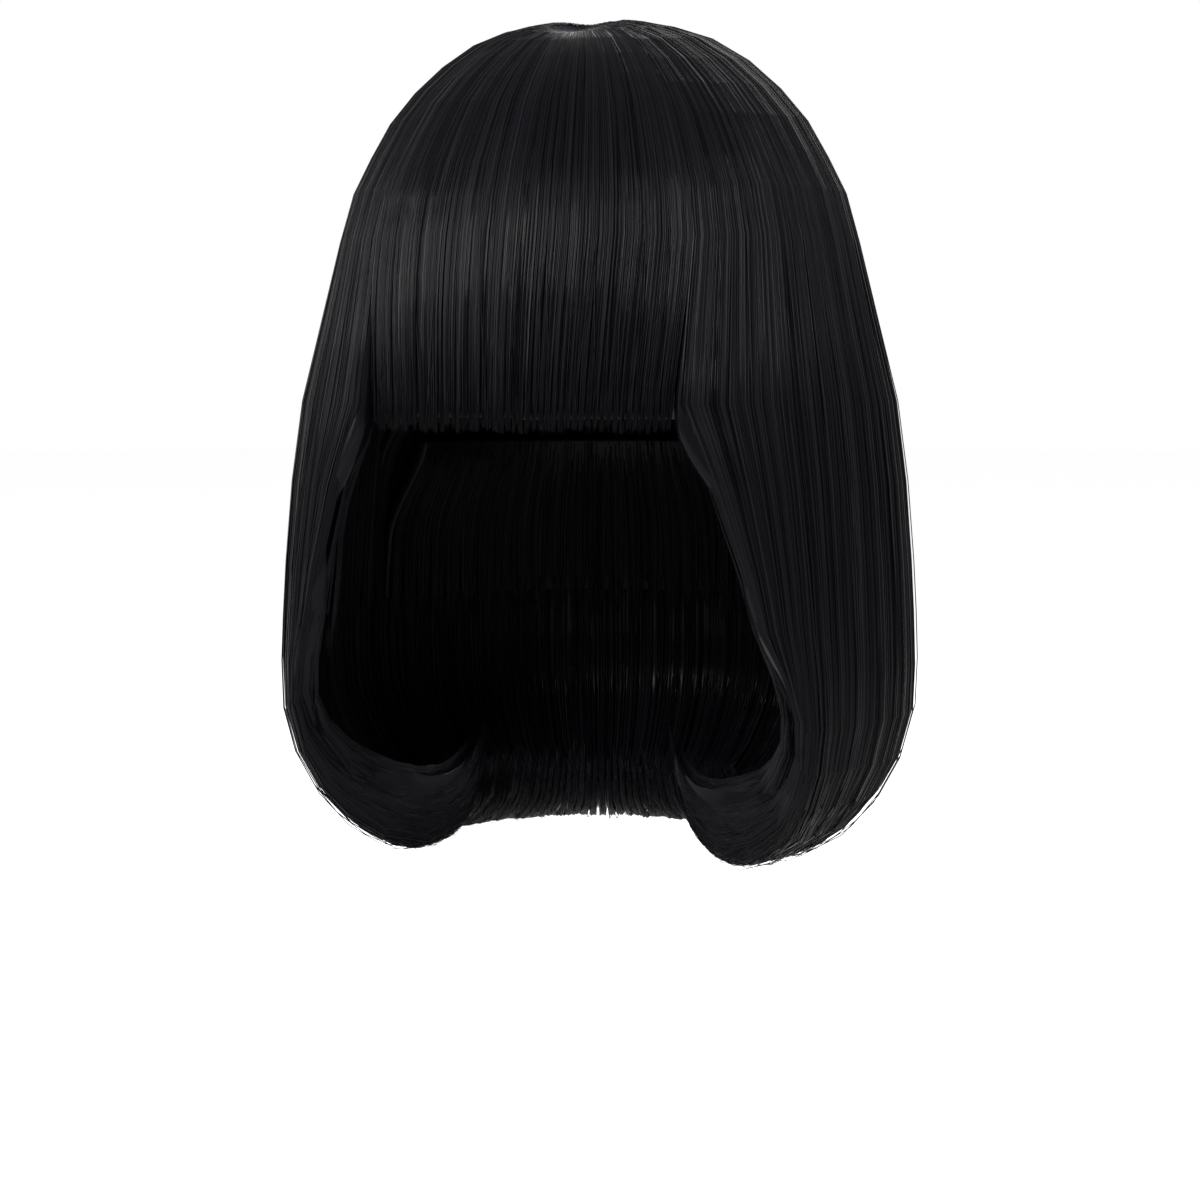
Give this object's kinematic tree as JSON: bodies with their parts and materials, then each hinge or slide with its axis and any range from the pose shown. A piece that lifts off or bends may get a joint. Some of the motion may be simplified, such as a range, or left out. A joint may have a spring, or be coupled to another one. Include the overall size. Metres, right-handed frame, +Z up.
{
  "type": "costume wig",
  "caption": "Sleek black bob costume wig with a blunt fringe and inward-curled ends, sewn in wefts to an adjustable stretch-net cap.",
  "frame": {"origin": "where the top of the wearer's head meets the inside of the cap", "axes": "+Z up, -Y the way the face looks, +X the wearer's left"},
  "size_m": [0.2564, 0.2449, 0.333],
  "materials": {
    "hair": "sleek near-black synthetic fibre, soft satin sheen",
    "under_hair": "near-black synthetic fibre, duller inside layer",
    "cap_net": "black stretch net",
    "ribbon": "black woven ribbon",
    "ear_tab": "black soft woven tab",
    "elastic": "black ribbed elastic",
    "weft_track": "black stitched thread",
    "skin_patch": "thin matt grey-beige skin",
    "hook": "black moulded plastic"
  },
  "bodies": {
    "cap": {"cap_net_front": "cap_net", "cap_net_left": "cap_net", "cap_net_back_left": "cap_net", "cap_net_back_right": "cap_net", "cap_net_right": "cap_net", "crown_patch": "skin_patch", "front_band": "ribbon", "nape_band": "elastic", "side_band_left": "ribbon", "side_band_right": "ribbon", "ear_tab_left": "ear_tab", "ear_tab_right": "ear_tab", "tape_back_centre": "elastic", "tape_back_left": "elastic", "tape_back_right": "elastic", "tape_side_left": "elastic", "tape_side_right": "elastic", "weft_track_1": "weft_track", "weft_track_2": "weft_track", "weft_track_3": "weft_track", "weft_track_4": "weft_track", "weft_track_5": "weft_track", "weft_track_6": "weft_track", "weft_track_fringe": "weft_track", "weft_track_crown": "weft_track", "loop_tape_left": "elastic", "loop_tape_right": "elastic", "hair_crown_front": "hair", "hair_crown_back": "hair", "hair_crown_left": "hair", "hair_crown_right": "hair"},
    "fringe": {"hair_fringe": "hair"},
    "side_left": {"hair_temple_left": "hair", "hair_side_left": "hair", "hair_side_under_left": "under_hair"},
    "side_right": {"hair_temple_right": "hair", "hair_side_right": "hair", "hair_side_under_right": "under_hair"},
    "back": {"hair_back_left": "hair", "hair_back_centre": "hair", "hair_back_right": "hair", "hair_back_under": "under_hair", "hair_nape": "under_hair"},
    "adjuster_left": {"adjuster_hook_left": "hook", "adjuster_strap_left": "elastic"},
    "adjuster_right": {"adjuster_hook_right": "hook", "adjuster_strap_right": "elastic"}
  },
  "joints": [
    {"name": "fringe_lift", "type": "hinge", "parent": "cap", "child": "fringe", "pos_m": [0, -0.1022, -0.0756], "axis": [-1, 0, 0], "range_deg": [0, 25], "stiffness_Nm_per_rad": 0.05, "springref_deg": -17.19},
    {"name": "side_left_swing", "type": "hinge", "parent": "cap", "child": "side_left", "pos_m": [0.1042, 0, -0.0756], "axis": [0, -1, 0], "range_deg": [0, 20], "stiffness_Nm_per_rad": 0.12, "springref_deg": -17.19},
    {"name": "side_right_swing", "type": "hinge", "parent": "cap", "child": "side_right", "pos_m": [-0.1042, 0, -0.0756], "axis": [0, 1, 0], "range_deg": [0, 20], "stiffness_Nm_per_rad": 0.12, "springref_deg": -17.19},
    {"name": "back_swing", "type": "hinge", "parent": "cap", "child": "back", "pos_m": [0, 0.1022, -0.0756], "axis": [1, 0, 0], "range_deg": [0, 20], "stiffness_Nm_per_rad": 0.25, "springref_deg": -17.19},
    {"name": "adjuster_left_slide", "type": "slide", "parent": "cap", "child": "adjuster_left", "axis": [-0.8799, 0.4751, 0], "range_m": [0, 0.01]},
    {"name": "adjuster_right_slide", "type": "slide", "parent": "cap", "child": "adjuster_right", "axis": [0.8799, 0.4751, 0], "range_m": [0, 0.01]}
  ]
}
